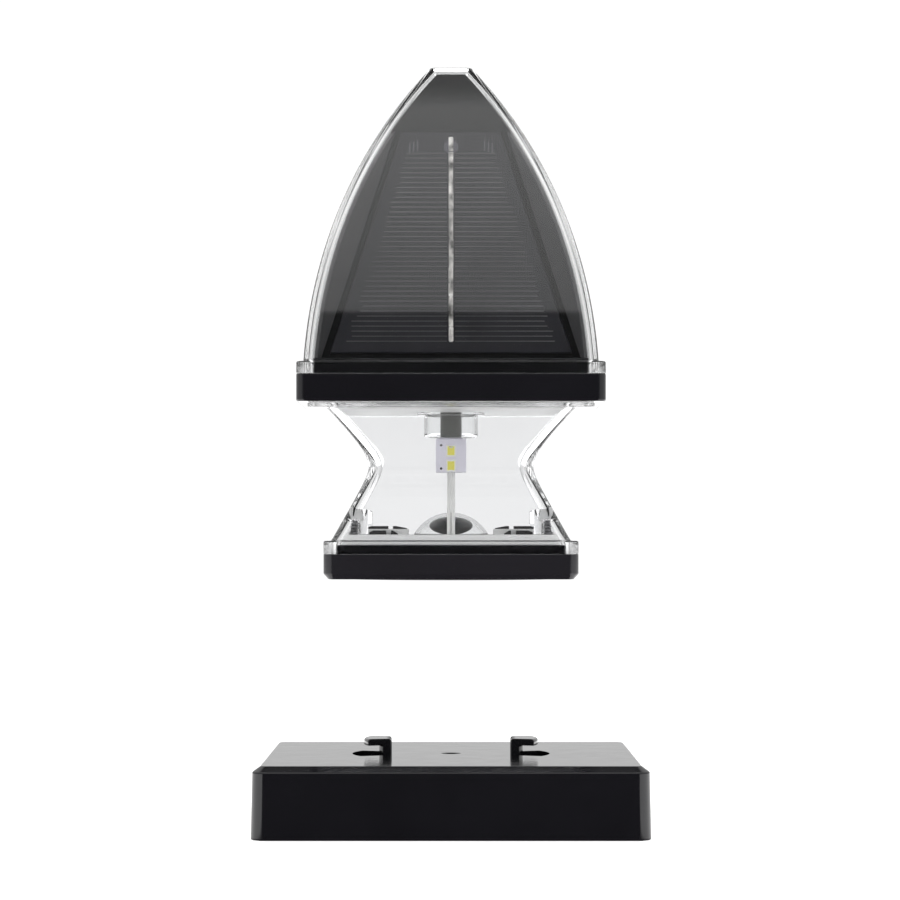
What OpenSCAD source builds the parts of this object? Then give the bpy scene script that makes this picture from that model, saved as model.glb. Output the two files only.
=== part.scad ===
// Solar light that caps a square fence post. The head drops onto the post cap and turns a quarter
// to lock under its two hooks. Origin: middle of the post cap's lower rim, +Z up, front towards -Y.

/* [Post cap] */
// Width of the square post cap
cap_w = 111; // [100:1:130]
// Height of the post cap
cap_h = 20.4; // [16:0.2:30]
// Thickness of the cap's walls and top
cap_wall = 3; // [2:0.5:4]
// Radius of the cap's vertical corners
cap_corner_r = 3.3; // [2:0.1:6]
// Width of the chamfer round the cap's top
cap_chamfer = 2.85; // [1:0.05:4]
// Height of that chamfer
cap_chamfer_h = 1.7; // [1:0.1:3]
// Radius of the screw hole in the middle of the cap
cap_screw_r = 2.25; // [1.5:0.05:3]

/* [Hooks] */
// Inner radius of a hook's stem
hook_r = 18.4; // [16:0.1:20]
// Thickness of the stem
hook_stem = 2.6; // [2:0.1:3]
// Reach of the hook's arm past the stem
hook_arm = 4.5; // [3:0.1:5]
// Height of a hook above the cap
hook_h = 4.7; // [4.4:0.1:5]
// Thickness of the arm
hook_arm_t = 1.95; // [1.5:0.05:2]
// Half of the angle that a hook spans
hook_half = 20; // [10:1:24]

/* [Head] */
// Gap between the head as stored and its seat on the cap
lift_gap = 51; // [10:1:80]
// Width of the base plate and of the waist's lower flange
base_w = 72; // [68:1:80]
// Width of the collar and of the dome's flange
collar_w = 86.7; // [84:0.1:92]
// Width of the waist's upper flange
waist_top_w = 80.6; // [76:0.1:84]
// Half of the waist's width at its narrowest
pinch_half = 23.6; // [20:0.1:26]
// Height of that narrowest place above the seat
pinch_z = 32.3; // [28:0.1:36]
// Thickness of the clear walls
clear_wall = 2; // [1.5:0.1:2.5]

/* [Dome] */
// Radius of the dome's side arcs
arc_r = 149.17; // [149:0.01:150]
// Distance of an arc's centre past the axis
arc_x = 107.4; // [107:0.1:108]
// Height of the arcs' centres above the seat
arc_z = 51.6; // [50:0.1:53]
// Height of the dome's flat top above the seat
dome_top = 148.6; // [140:0.2:149]

/* [Light] */
// Width of the front and back LED boards
board_w = 8.85; // [8:0.05:10]
// Height of the LED boards
board_h = 10; // [9:0.5:12]
// Width of one LED
led_w = 2.8; // [2:0.1:3]
// Height of one LED
led_h = 3.5; // [2:0.1:3.6]

/* [Hidden] */
$fn = 64;

// Heights from here on are above the seat, which is the cap's top face
seat = cap_h + lift_gap;
base_z = 0.3;           // underside of the base plate
flange_z = 7.4;         // underside of the waist's lower flange
base_top = 10;          // top of the base plate's step
wall_z = 11.2;          // where the waist's walls start
floor_z = 12.6;         // top of the white floor
upper_z = 48.7;         // underside of the waist's upper flange
collar_z = 50.2;        // underside of the collar
rim_z = 58;             // underside of the dome's flange
shell_z = 61.5;         // where the dome's arcs start
carrier_z = 62.4;       // underside of the panel carrier
crown_z = 128.6;        // where the carrier's flat faces end

// Corner radii of the smaller square pieces
inner_corner_r = 1;
trim_corner_r = 2;
step_corner_r = 2.5;
seal_corner_r = 3;

// Waist
lower_slope = 0.56;
lower_bend = 3;
upper_slope = 1;
upper_bend = 6;
waist_steps = 12;
floor_w = 61.6;
ceiling_w = 65.2;

// Base plate
base_corner_r = 3.5;
base_chamfer = 1.4;
step_w = 64.6;
recess_r = 26.4;
recess_z = 5.4;
tab_in_r = 21.6;
tab_top = 2.4;
tab_half = 35;
slot_r = 28.8;
slot_half = 25;
hook_out_r = hook_r + hook_stem;
seal_in_r = 29.6;
seal_out_r = 32.4;
seal_top = 2.3;
gasket_in = 66.6;
gasket_out = 69.4;
screw_at = 27.3;
screw_r = 1.4;
screw_head_r = 2.7;
screw_head_z = 1.2;
screw_shank_z = 3;
screw_tip = 16;
boss_r = 3;
boss_top = 19.8;
rib_w = 1.1;
rib_proud = 0.8;

// Roofs of the two hook pockets, which stand through slots in the floor, higher at the back
roof_in = 18.2;
roof_out = 25.7;
roof_half = 41;
roof_rib_x = 18.2;
roof_rib_w = 1.8;
cross_rib_w = 1.4;
cross_rib_top = 14.6;
front_roof_top = 14.3;
back_roof_top = 15.1;
slot_gap = 0.2;

// Switch
button_r = 3.62;
button_z = 1.8;
button_top = 7.5;
button_hole_r = 3.7;
switch_r = 6.35;
switch_z = 9;
switch_dome_r = 12.45;
switch_dome_z = 6.6;
switch_dome_wall = 0.8;
switch_gap = 0.4;
switch_window_r = 9.5;
wire_r = 0.55;
wire_x = 0.62;
wire_foot_y = -13.4;
wire_foot_z = 9.4;
wire_top_y = -2.3;
wire_groove_w = 2.6;
wire_groove_z = 8.8;

// Light column
core_w = 6.6;
core_z = 31.6;
boards_z = 31.1;
board_t = 1;
led_t = 0.7;
led_heights = [32.9, 37.3];
post_r = 3.1;
post_z = 41.4;
holder_r = 7.8;
holder_wall = 1;
holder_floor = 1.2;
holder_flange = 2;
ceiling_z = 49;

// Collar and carrier
collar_corner_r = 3;
collar_step_w = 77.5;
collar_room_w = 71.5;
collar_floor = 52.4;
seal_groove_z = 57;
seal_in_w = 81.2;
seal_out_w = 84;
wire_hole_r = 3.4;
led_wire_r = 0.6;
led_wire_x = 1.3;
carrier_inset = 2.9;
carrier_half = 37.5;
crown_half = ogive_half(crown_z, carrier_inset);
carrier_wall = 2.6;
carrier_top_gap = 2.4;
face_rise = crown_z - carrier_z;
face_tilt = atan((carrier_half - crown_half) / face_rise);
face_len = face_rise / cos(face_tilt);
fin_t = 1.6;
carrier_screw_at = 30;
carrier_screw_r = 1.2;
carrier_screw_head_r = 2.6;
carrier_screw_head_h = 1.2;
carrier_boss_top = 70.4;

// Solar panels, in the plane of a carrier face
panel_margin = 3.2;
panel_y0 = 1.5;
panel_y1 = face_len - 1;
panel_t = 1.8;
panel_proud = 0.4;
bus_w = 1.7;
bus_y0 = 4.7;
bus_y1 = 66.9;
bus_t = 0.15;

// Battery and board
cell_r = 7.1;
cell_len = 50;
cell_z = 67.5;
nub_r = 2.7;
nub_len = 1.5;
contact_t = 0.5;
tray_z = 58.4;
tray_len = 66;
tray_w = 17.4;
cradle_len = 58;
tray_foot_t = 1.6;
tray_foot_len = 4;
tray_leg_t = 2;
pcb_z = 53.6;
pcb_t = 1.6;
pcb_size = [54, 38];
pcb_post = [22, 14];
pcb_post_r = 2.2;

// Components on the board: width, depth, height, then place
chips = [
  [[6, 5, 1.6], [-12, 4]],
  [[5, 4.4, 1.5], [10, -6]],
  [[7.6, 5, 2.6], [0, 13]],
  [[7.6, 5, 2.6], [-18, -12]]
];
capacitor_at = [18, 8];
capacitor_r = 3.2;
capacitor_h = 2.8;

function waist_slope(d) = d < 0 ? lower_slope : upper_slope;
function waist_bend(d) = d < 0 ? lower_bend : upper_bend;
function waist_half(z) =
  let (d = z - pinch_z, b = waist_bend(d)) pinch_half + waist_slope(d) * (sqrt(d * d + b * b) - b);
function ogive_half(z, inset) = sqrt(pow(arc_r - inset, 2) - pow(z - arc_z, 2)) - arc_x;
function face_half(y) = carrier_half - y * sin(face_tilt);

module at_head() {
  translate([0, 0, seat]) children();
}

module corners(at) {
  for (x = [-at, at], y = [-at, at]) translate([x, y, 0]) children();
}

module tube(r, z0, z1) {
  translate([0, 0, z0]) cylinder(r = r, h = z1 - z0);
}

module ring(r0, r1, z0, z1) {
  difference() {
    tube(r1, z0, z1);
    tube(r0, z0 - 1, z1 + 1);
  }
}

module rounded_square(w, r) {
  square([w, w - 2 * r], center = true);
  square([w - 2 * r, w], center = true);
  for (x = [-1, 1], y = [-1, 1]) translate([x, y] * (w / 2 - r)) circle(r);
}

module slab(w, z0, z1, r) {
  translate([0, 0, z0]) linear_extrude(z1 - z0) rounded_square(w, r);
}

module frame_ring(w0, w1, z0, z1, r) {
  difference() {
    slab(w1, z0, z1, r);
    slab(w0, z0 - 1, z1 + 1, r - 1);
  }
}

module block(size, at) {
  translate(at) cube(size, center = true);
}

// An arc of a ring, centred on +X
module arc(r0, r1, z0, z1, half) {
  rotate(-half) rotate_extrude(angle = 2 * half) translate([r0, z0]) square([r1 - r0, z1 - z0]);
}

// Wedges that take a chamfer off the four edges at height z; rise is negative on a top edge
module edge_wedges(w, z, run, rise) {
  for (a = [0:90:270]) rotate(a) translate([w / 2, 0, z]) rotate([90, 0, 0])
    linear_extrude(2 * w, center = true)
      polygon([[-run, 0], [1, 0], [1, rise * (1 + run) / run]]);
}

// A solid with the same 2D outline seen from the front and from the side
module both_ways() {
  intersection() {
    rotate([90, 0, 0]) linear_extrude(2 * collar_w, center = true) children();
    rotate([90, 0, 90]) linear_extrude(2 * collar_w, center = true) children();
  }
}

module ogive(inset, z0, z1) {
  both_ways() intersection() {
    translate([-arc_x, arc_z]) circle(arc_r - inset, $fn = 180);
    translate([arc_x, arc_z]) circle(arc_r - inset, $fn = 180);
    translate([-collar_w, z0]) square([2 * collar_w, z1 - z0]);
  }
}

module hourglass(inset, z0, z1) {
  rise = (z1 - z0) / waist_steps;
  right = [for (i = [0:waist_steps]) [waist_half(z0 + i * rise) - inset, z0 + i * rise]];
  left = [for (i = [waist_steps:-1:0]) [-right[i][0], right[i][1]]];
  both_ways() polygon(concat(right, left));
}

module screw(head_r, head_z, shank_z, tip_z, r) {
  tube(head_r, head_z, shank_z);
  tube(r, shank_z, tip_z);
}

module hook() {
  arc(hook_r, hook_out_r, cap_h - 1, cap_h + hook_h, hook_half);
  arc(hook_r, hook_out_r + hook_arm, cap_h + hook_h - hook_arm_t, cap_h + hook_h, hook_half);
}

// The two pocket roofs, split by a rib along X and one across it; grow widens them into slots
module pocket_roofs(grow, z0, z1) {
  for (a = [0, 180]) rotate(a) difference() {
    arc(roof_in - grow, roof_out + grow, z0, z1, roof_half + 3 * grow);
    block([roof_rib_w - 2 * grow, base_w, base_w], [roof_rib_x, 0, floor_z]);
    block([base_w, cross_rib_w - 2 * grow, base_w], [0, 0, floor_z]);
  }
}

module post_cap() color("#16161a") {
  difference() {
    slab(cap_w, 0, cap_h, cap_corner_r);
    slab(cap_w - 2 * cap_wall, -1, cap_h - cap_wall, inner_corner_r);
    edge_wedges(cap_w, cap_h, cap_chamfer, -cap_chamfer_h);
    tube(cap_screw_r, 0, cap_h + 1);
    for (a = [0, 180]) rotate(a) arc(hook_out_r, slot_r, cap_h - cap_wall - 1, cap_h + 1, slot_half);
  }
  for (a = [0, 180]) rotate(a) hook();
}

module seal_ring() color("#222226") at_head() ring(seal_in_r, seal_out_r, 0.05, seal_top);

module base_plate() color("#242428") at_head() {
  difference() {
    union() {
      slab(base_w, base_z, flange_z, base_corner_r);
      slab(step_w, flange_z - 1, base_top, step_corner_r);
    }
    edge_wedges(base_w, base_z, base_chamfer, base_chamfer);
    tube(recess_r, 0, recess_z);
    ring(seal_in_r - 0.2, seal_out_r + 0.2, 0, seal_top + 0.2);
    tube(button_hole_r, 0, base_top);
    tube(switch_r + 0.1, switch_z - 0.1, base_top + 1);
    block([wire_groove_w, -wire_foot_y + wire_r + 0.2, 2 * (base_top - wire_groove_z)],
          [0, (wire_foot_y - wire_r - 0.2) / 2, base_top]);
    frame_ring(gasket_in, gasket_out, flange_z - 1, flange_z + 0.5, seal_corner_r);
    corners(screw_at) screw(boss_r, 0, screw_shank_z, base_top + 1, screw_r + 0.2);
  }
  for (a = [90, 270]) rotate(a) arc(tab_in_r, recess_r + 0.5, base_z, tab_top, tab_half);
  pocket_roofs(0, base_top - 1, front_roof_top);
  intersection() {
    pocket_roofs(0, base_top - 1, back_roof_top);
    block([base_w, base_w, base_w], [0, base_w / 2, floor_z]);
  }
}

module base_gasket() color("#303034") at_head()
  frame_ring(gasket_in, gasket_out, flange_z - 1, flange_z, seal_corner_r);

module waist() color("#dfe6ea", 0.35) at_head() {
  difference() {
    union() {
      slab(base_w, flange_z, wall_z, base_corner_r);
      hourglass(0, wall_z, upper_z);
      slab(waist_top_w, upper_z, collar_z, trim_corner_r);
    }
    slab(step_w + 0.4, flange_z - 1, base_top + 0.1, step_corner_r);
    hourglass(clear_wall, base_top, collar_z + 1);
  }
  difference() {
    intersection() {
      corners(screw_at) tube(boss_r, base_top + 0.1, boss_top);
      hourglass(1, base_top, upper_z);
    }
    corners(screw_at) tube(screw_r + 0.05, base_top, screw_tip + 0.5);
  }
  intersection() {
    for (a = [0, 90]) rotate(a) difference() {
      block([rib_w, 2 * base_w, pinch_z - floor_z], [0, 0, (pinch_z + floor_z) / 2]);
      hourglass(clear_wall + rib_proud, base_top, pinch_z + 1);
    }
    hourglass(1, base_top, upper_z);
  }
}

module waist_screws() color("#3a3a3e") at_head()
  corners(screw_at) screw(screw_head_r, screw_head_z, screw_shank_z, screw_tip, screw_r);

module floor_reflector() color("#f1f1ef") at_head() {
  difference() {
    slab(floor_w, base_top, floor_z, trim_corner_r);
    corners(screw_at) tube(boss_r + slot_gap, base_top - 1, floor_z + 1);
    tube(switch_window_r, base_top - 1, floor_z + 1);
    block([wire_groove_w, 4, 2 * floor_z], [0, wire_foot_y + 0.6, floor_z]);
    pocket_roofs(slot_gap, base_top - 1, floor_z + 1);
  }
  for (a = [0, 180]) rotate(a)
    block([roof_out - roof_in, cross_rib_w - 2 * slot_gap, cross_rib_top - base_top],
          [(roof_out + roof_in) / 2, 0, (cross_rib_top + base_top) / 2]);
}

module switch_button() color("#1b1b1e") at_head() tube(button_r, button_z, button_top);

module switch_body() color("#0d0d0f") at_head() intersection() {
  tube(switch_r, switch_z, floor_z + 6);
  translate([0, 0, switch_dome_z]) sphere(switch_dome_r - switch_dome_wall - switch_gap);
}

module switch_dome() color("#e6ecef", 0.35) at_head() difference() {
  translate([0, 0, switch_dome_z]) sphere(switch_dome_r);
  translate([0, 0, switch_dome_z]) sphere(switch_dome_r - switch_dome_wall);
  block([4, 4, 4] * switch_dome_r, [0, 0, floor_z - 2 * switch_dome_r]);
  tube(1, floor_z, switch_dome_z + switch_dome_r + 1);
}

// Two wires run out from the switch under the floor, then up in front of its dome to the LED core
module switch_wires() color("#f4f4f2") at_head() {
  rise = core_z - wire_foot_z;
  run = wire_top_y - wire_foot_y;
  for (s = [-1, 1]) translate([s * wire_x, 0, 0]) difference() {
    union() {
      translate([0, wire_foot_y, wire_foot_z]) sphere(wire_r);
      translate([0, wire_foot_y, wire_foot_z]) rotate([-90, 0, 0])
        cylinder(r = wire_r, h = -wire_foot_y - switch_r);
      translate([0, wire_foot_y, wire_foot_z]) rotate([-atan(run / rise), 0, 0])
        cylinder(r = wire_r, h = norm([run, rise]) + 1);
    }
    block([2, 9, 4], [0, wire_top_y, core_z + 2]);
    tube(switch_r, 0, base_top);
  }
}

module led_core() color("#d8d8dc") at_head()
  block([core_w, core_w, post_z - core_z], [0, 0, (post_z + core_z) / 2]);

module led_boards() color("#eeecf6") at_head() {
  z = boards_z + board_h / 2;
  out = (core_w + board_t) / 2;
  for (s = [-1, 1]) {
    block([board_w, board_t, board_h], [0, s * out, z]);
    block([board_t, core_w - 0.1, board_h], [s * out, 0, z]);
  }
}

module leds() color("#ecd86a") at_head()
  for (a = [0:90:270], z = led_heights) rotate(a)
    block([led_w, led_t, led_h], [0, -core_w / 2 - board_t - led_t / 2, z]);

module led_post() color("#8b8b89") at_head() tube(post_r, post_z, ceiling_z);

module led_holder() color("#eef1f3", 0.5) at_head() difference() {
  union() {
    tube(holder_r, post_z, ceiling_z);
    tube(holder_r + holder_flange, ceiling_z - 1, ceiling_z);
  }
  tube(holder_r - holder_wall, post_z + holder_floor, ceiling_z + 1);
  tube(post_r + 0.05, post_z - 1, ceiling_z);
}

module led_wires() color("#c83c32") at_head()
  for (s = [-1, 1]) translate([s * led_wire_x, 0, 0]) tube(led_wire_r, ceiling_z, pcb_z);

module ceiling_reflector() color("#f1f1ef") at_head() difference() {
  slab(ceiling_w, ceiling_z, collar_z, trim_corner_r);
  tube(2 * led_wire_x, ceiling_z - 1, collar_z + 1);
}

module collar() color("#1b1a1e") at_head() {
  difference() {
    union() {
      slab(collar_w, collar_z, rim_z, collar_corner_r);
      slab(collar_step_w, rim_z - 1, carrier_z, step_corner_r);
    }
    slab(collar_room_w, collar_floor, carrier_z + 1, inner_corner_r);
    frame_ring(seal_in_w, seal_out_w, seal_groove_z, rim_z + 1, seal_corner_r);
    tube(wire_hole_r, collar_z - 1, collar_floor + 1);
    corners(carrier_screw_at) screw(carrier_screw_head_r + 0.2, collar_z - 1,
      collar_z + carrier_screw_head_h, collar_floor + 1, carrier_screw_r + 0.4);
  }
  for (x = [-1, 1], y = [-1, 1]) translate([x * pcb_post[0], y * pcb_post[1], 0])
    tube(pcb_post_r, collar_floor - 1, pcb_z);
}

module dome_seal() color("#303034") at_head()
  frame_ring(seal_in_w, seal_out_w, seal_groove_z, rim_z, seal_corner_r);

module dome() color("#e6ecef", 0.35) at_head() difference() {
  union() {
    slab(collar_w, rim_z, shell_z, collar_corner_r);
    ogive(0, shell_z, dome_top);
  }
  ogive(clear_wall, rim_z - 1, dome_top - clear_wall);
}

// Children are placed on carrier face k: x to the right, y up the face, z out of it
module on_face(k) {
  rotate(90 * k) translate([0, -carrier_half, carrier_z]) rotate([90 - face_tilt, 0, 0]) children();
}

module frustum(inset, z0, z1) {
  slope = tan(face_tilt);
  hull() {
    for (z = [z0, z1 - 0.01]) translate([0, 0, z])
      linear_extrude(0.01) square(2 * (carrier_half - (z - carrier_z) * slope - inset), center = true);
  }
}

module panel_shape(grow) {
  y0 = panel_y0 - grow;
  y1 = panel_y1 + grow;
  lower = face_half(y0) - panel_margin + grow;
  upper = face_half(y1) - panel_margin + grow;
  polygon([[-lower, y0], [lower, y0], [upper, y1], [-upper, y1]]);
}

module panel_carrier() color("#17161a") at_head() {
  difference() {
    union() {
      frustum(0, carrier_z, crown_z);
      ogive(carrier_inset, crown_z - 0.5, dome_top - carrier_top_gap);
      intersection() {
        for (a = [45, 135]) rotate(a) block([200, fin_t, 200], [0, 0, carrier_z + 100]);
        ogive(carrier_inset, carrier_z, crown_z);
      }
    }
    frustum(carrier_wall, carrier_z - 1, crown_z - 2);
    for (k = [0:3]) on_face(k)
      translate([0, 0, panel_proud - panel_t - 0.05]) linear_extrude(panel_t + 1) panel_shape(0.1);
  }
  difference() {
    corners(carrier_screw_at) tube(boss_r, collar_floor, carrier_boss_top);
    corners(carrier_screw_at) tube(carrier_screw_r + 0.05, collar_floor - 1, carrier_z);
  }
}

module carrier_screws() color("#8c8c90") at_head()
  corners(carrier_screw_at) screw(carrier_screw_head_r, collar_z, collar_z + carrier_screw_head_h,
    collar_floor + 6, carrier_screw_r);

module solar_panel(k) {
  at_head() on_face(k)
    translate([0, 0, panel_proud - panel_t]) linear_extrude(panel_t) panel_shape(0);
}

module solar_panel_front() color("#2b2a30") solar_panel(0);
module solar_panel_right() color("#2b2a30") solar_panel(1);
module solar_panel_back() color("#2b2a30") solar_panel(2);
module solar_panel_left() color("#2b2a30") solar_panel(3);

module bus_bars() color("#c9c6c2") at_head()
  for (k = [0:3]) on_face(k) translate([-bus_w / 2, bus_y0, panel_proud])
    cube([bus_w, bus_y1 - bus_y0, bus_t]);

module control_board() color("#1f6b46") at_head()
  block([pcb_size[0], pcb_size[1], pcb_t], [0, 0, pcb_z + pcb_t / 2]);

module board_components() color("#2a2a2c") at_head() {
  top = pcb_z + pcb_t;
  for (chip = chips) block(chip[0], [chip[1][0], chip[1][1], top + chip[0][2] / 2]);
  translate(capacitor_at) tube(capacitor_r, top, top + capacitor_h);
}

// A cylinder along X at the cell's height
module along_x(r, x0, x1) {
  translate([x0, 0, cell_z]) rotate([0, 90, 0]) cylinder(r = r, h = x1 - x0);
}

module battery() color("#2f63a8") at_head() {
  along_x(cell_r, -cell_len / 2, cell_len / 2 - nub_len);
  along_x(nub_r, cell_len / 2 - nub_len, cell_len / 2);
}

module battery_holder() color("#202024") at_head() {
  difference() {
    block([cradle_len, tray_w, cell_z - tray_z], [0, 0, (cell_z + tray_z) / 2]);
    along_x(cell_r + 0.1, -cell_len / 2 - 2.4, cell_len / 2 + 2.4);
  }
  for (s = [-1, 1]) {
    block([tray_foot_len, tray_w, tray_foot_t],
          [s * (tray_len - tray_foot_len) / 2, 0, tray_z + tray_foot_t / 2]);
    block([tray_leg_t, tray_w, tray_z - collar_floor],
          [s * (tray_len - tray_leg_t) / 2, 0, (tray_z + collar_floor) / 2]);
  }
}

module battery_contacts() color("#c8c8cc") at_head() {
  along_x(cell_r - 1.1, cell_len / 2, cell_len / 2 + contact_t);
  along_x(cell_r - 2.1, -cell_len / 2 - contact_t, -cell_len / 2);
}

post_cap();
seal_ring();
base_plate();
base_gasket();
waist();
waist_screws();
floor_reflector();
switch_button();
switch_body();
switch_dome();
switch_wires();
led_core();
led_boards();
leds();
led_post();
led_holder();
led_wires();
ceiling_reflector();
collar();
dome_seal();
dome();
panel_carrier();
carrier_screws();
solar_panel_front();
solar_panel_right();
solar_panel_back();
solar_panel_left();
bus_bars();
control_board();
board_components();
battery();
battery_holder();
battery_contacts();
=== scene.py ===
"""Solar light for a square fence post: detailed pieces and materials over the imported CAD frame.

Heights written in millimetres are above the seat, the head's plane that meets the post cap's top.
Only the cap's own are above its lower rim. The head is stored lifted straight off its cap.
"""
import math
import random

import bmesh
import bpy
from mathutils import Matrix, Vector


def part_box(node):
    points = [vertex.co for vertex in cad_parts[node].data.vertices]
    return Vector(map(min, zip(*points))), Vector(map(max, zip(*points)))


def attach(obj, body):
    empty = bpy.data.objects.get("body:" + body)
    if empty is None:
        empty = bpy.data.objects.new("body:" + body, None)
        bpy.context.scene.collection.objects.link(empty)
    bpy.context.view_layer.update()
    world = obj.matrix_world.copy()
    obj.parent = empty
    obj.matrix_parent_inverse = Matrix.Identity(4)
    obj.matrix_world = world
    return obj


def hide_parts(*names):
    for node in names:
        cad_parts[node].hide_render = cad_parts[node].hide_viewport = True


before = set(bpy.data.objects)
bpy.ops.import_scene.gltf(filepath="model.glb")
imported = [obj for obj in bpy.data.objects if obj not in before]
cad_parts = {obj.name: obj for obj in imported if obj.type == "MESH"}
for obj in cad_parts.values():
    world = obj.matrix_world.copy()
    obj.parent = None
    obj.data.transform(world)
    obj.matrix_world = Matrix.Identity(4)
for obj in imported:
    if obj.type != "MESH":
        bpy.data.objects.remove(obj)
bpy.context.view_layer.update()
random.seed(7)

MM = 0.001
# Edges that turn by more than these are shaded sharp, or bevelled by edge_bevel
SHARP, BEVELLED = math.radians(32), math.radians(40)
CORNER_STEPS, ARC_STEPS, ROUND_STEPS, WIRE_SIDES = 8, 24, 96, 16

# Places, from the CAD frame
CAP_LOW, CAP_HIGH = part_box("post_cap")
HOOK_H = 4.7
CAP_W = (CAP_HIGH.x - CAP_LOW.x) / 2 / MM
CAP_H = CAP_HIGH.z / MM - HOOK_H
BASE_Z = 0.3
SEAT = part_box("base_plate")[0].z / MM - BASE_Z
BASE_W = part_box("base_plate")[1].x / MM
COLLAR_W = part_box("collar")[1].x / MM
TOP_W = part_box("waist")[1].x / MM
DOME_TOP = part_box("dome")[1].z / MM - SEAT
RIM_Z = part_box("dome")[0].z / MM - SEAT
COLLAR_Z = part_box("collar")[0].z / MM - SEAT
CARRIER_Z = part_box("collar")[1].z / MM - SEAT
FLANGE_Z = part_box("waist")[0].z / MM - SEAT
FLOOR_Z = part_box("floor_reflector")[0].z / MM - SEAT + 2.6
BOARDS_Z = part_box("led_boards")[0].z / MM - SEAT
POST_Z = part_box("led_post")[0].z / MM - SEAT
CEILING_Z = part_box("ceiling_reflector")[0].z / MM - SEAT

# Shapes that repeat the CAD model's, in millimetres
CLEAR_WALL = 2.0
ARC_R, ARC_X, ARC_Z = 149.17, 107.4, 51.6
SHELL_Z = 61.5
WALL_Z, UPPER_Z = 11.2, 48.7
PINCH_HALF, PINCH_Z = 23.6, 32.3
CARRIER_HALF, CROWN_Z, CARRIER_INSET, PANEL_SIDE = 37.5, 128.6, 2.9, 3.2
HOOK_R, HOOK_STEM, HOOK_ARM, HOOK_ARM_T, HOOK_HALF = 18.4, 2.6, 4.5, 1.95, 20
SLOT_R, SLOT_HALF = 28.8, 25
SCREW_AT = 27.3
BASE_TOP = 10.0
WIRE_R, WIRE_X = 0.55, 0.62
WIRE_FOOT = (-13.4, 9.4)
WIRE_TOP_Y = -2.3
LED_HEIGHTS = (32.9, 37.3)

# The pocket roofs and the rib between them, drawn a little apart from the CAD model's
ROOF_DEPTH, ROOF_RIB, ROOF_FRONT_Z, ROOF_BACK_Z = 7.0, 1.4, 13.8, 15.1
CROSS_RIB_Z = 14.25


# ---------------------------------------------------------------- mesh helpers


def ogive_half(z, inset):
    """Half width of the dome at a height, taken inwards by inset."""
    return math.sqrt((ARC_R - inset) ** 2 - (z - ARC_Z) ** 2) - ARC_X


def waist_half(z):
    """Half width of the waist at a height: it flares more above the pinch than below it."""
    slope, bend = (0.56, 3) if z < PINCH_Z else (1, 6)
    return PINCH_HALF + slope * (math.hypot(z - PINCH_Z, bend) - bend)


CROWN_HALF = ogive_half(CROWN_Z, CARRIER_INSET)
FACE_TILT = math.atan((CARRIER_HALF - CROWN_HALF) / (CROWN_Z - CARRIER_Z))
FACE_LEN = (CROWN_Z - CARRIER_Z) / math.cos(FACE_TILT)


def steps(low, high, count):
    """Count + 1 numbers, evenly spaced from low to high."""
    return [low + (high - low) * i / count for i in range(count + 1)]


def soften(path, closed=False, segments=4):
    """A path of (across, up, fillet) points as (across, up), with each corner rounded by its fillet."""
    out = []
    for i, (a, b, fillet) in enumerate(path):
        here = Vector((a, b))
        if not fillet or (not closed and i in (0, len(path) - 1)):
            out.append((a, b))
            continue
        back = Vector(path[i - 1][:2]) - here
        ahead = Vector(path[(i + 1) % len(path)][:2]) - here
        reach = fillet / math.tan(back.angle(ahead) / 2)
        reach = min(reach, back.length * 0.49, ahead.length * 0.49)
        first, last = here + back.normalized() * reach, here + ahead.normalized() * reach
        for t in steps(0, 1, segments):
            out.append(tuple(first * (1 - t) ** 2 + here * 2 * t * (1 - t) + last * t * t))
    return out


def square_ring(half, radius):
    """Points round a square with round corners."""
    radius = max(0.05, min(radius, half * 0.98))
    points = []
    for quarter in range(4):
        turn = quarter * math.pi / 2
        middle = Matrix.Rotation(turn, 2) @ Vector((half - radius, half - radius))
        for a in steps(turn, turn + math.pi / 2, CORNER_STEPS):
            points.append((middle.x + radius * math.cos(a), middle.y + radius * math.sin(a)))
    return points


def round_ring(radius):
    turns = [2 * math.pi * i / ROUND_STEPS for i in range(ROUND_STEPS)]
    return [(radius * math.cos(a), radius * math.sin(a)) for a in turns]


def bridge(bm, low, high):
    """Faces between two closed rings of vertices."""
    for i in range(len(low)):
        j = (i + 1) % len(low)
        bm.faces.new((low[i], low[j], high[j], high[i]))


def sweep_up(rings, closed=False):
    """A mesh through rings of (points, z): closed in a loop, or with its two ends filled."""
    bm = bmesh.new()
    rows = [[bm.verts.new((x, y, z)) for x, y in points] for points, z in rings]
    for low, high in zip(rows, rows[1:]):
        bridge(bm, low, high)
    if closed:
        bridge(bm, rows[-1], rows[0])
    else:
        bm.faces.new(rows[-1])
        bm.faces.new(rows[0][::-1])
    bmesh.ops.recalc_face_normals(bm, faces=bm.faces)
    return bm


def square_body(path, corner, closed=False):
    """A square body from a path of (half width, z); corner gives the vertical corner's radius there."""
    return sweep_up([(square_ring(h, corner(h, z)), z) for h, z in path], closed)


def turned_body(path, closed=False):
    return sweep_up([(round_ring(max(r, 0.02)), z) for r, z in path], closed)


def follow(half, radius, least=0.6):
    """A rule for corners that keeps a wall even: radius where the half width is half, less inside."""
    return lambda h, z: max(least, radius + h - half)


def arc_body(outline, half_angle, centre):
    """An outline of (radius, z) swept round the axis, centre degrees from +X."""
    bm = bmesh.new()
    rows = []
    for a in steps(centre - half_angle, centre + half_angle, ARC_STEPS):
        c, s = math.cos(math.radians(a)), math.sin(math.radians(a))
        rows.append([bm.verts.new((r * c, r * s, z)) for r, z in outline])
    for low, high in zip(rows, rows[1:]):
        bridge(bm, low, high)
    bm.faces.new(rows[-1])
    bm.faces.new(rows[0][::-1])
    bmesh.ops.recalc_face_normals(bm, faces=bm.faces)
    return bm


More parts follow.
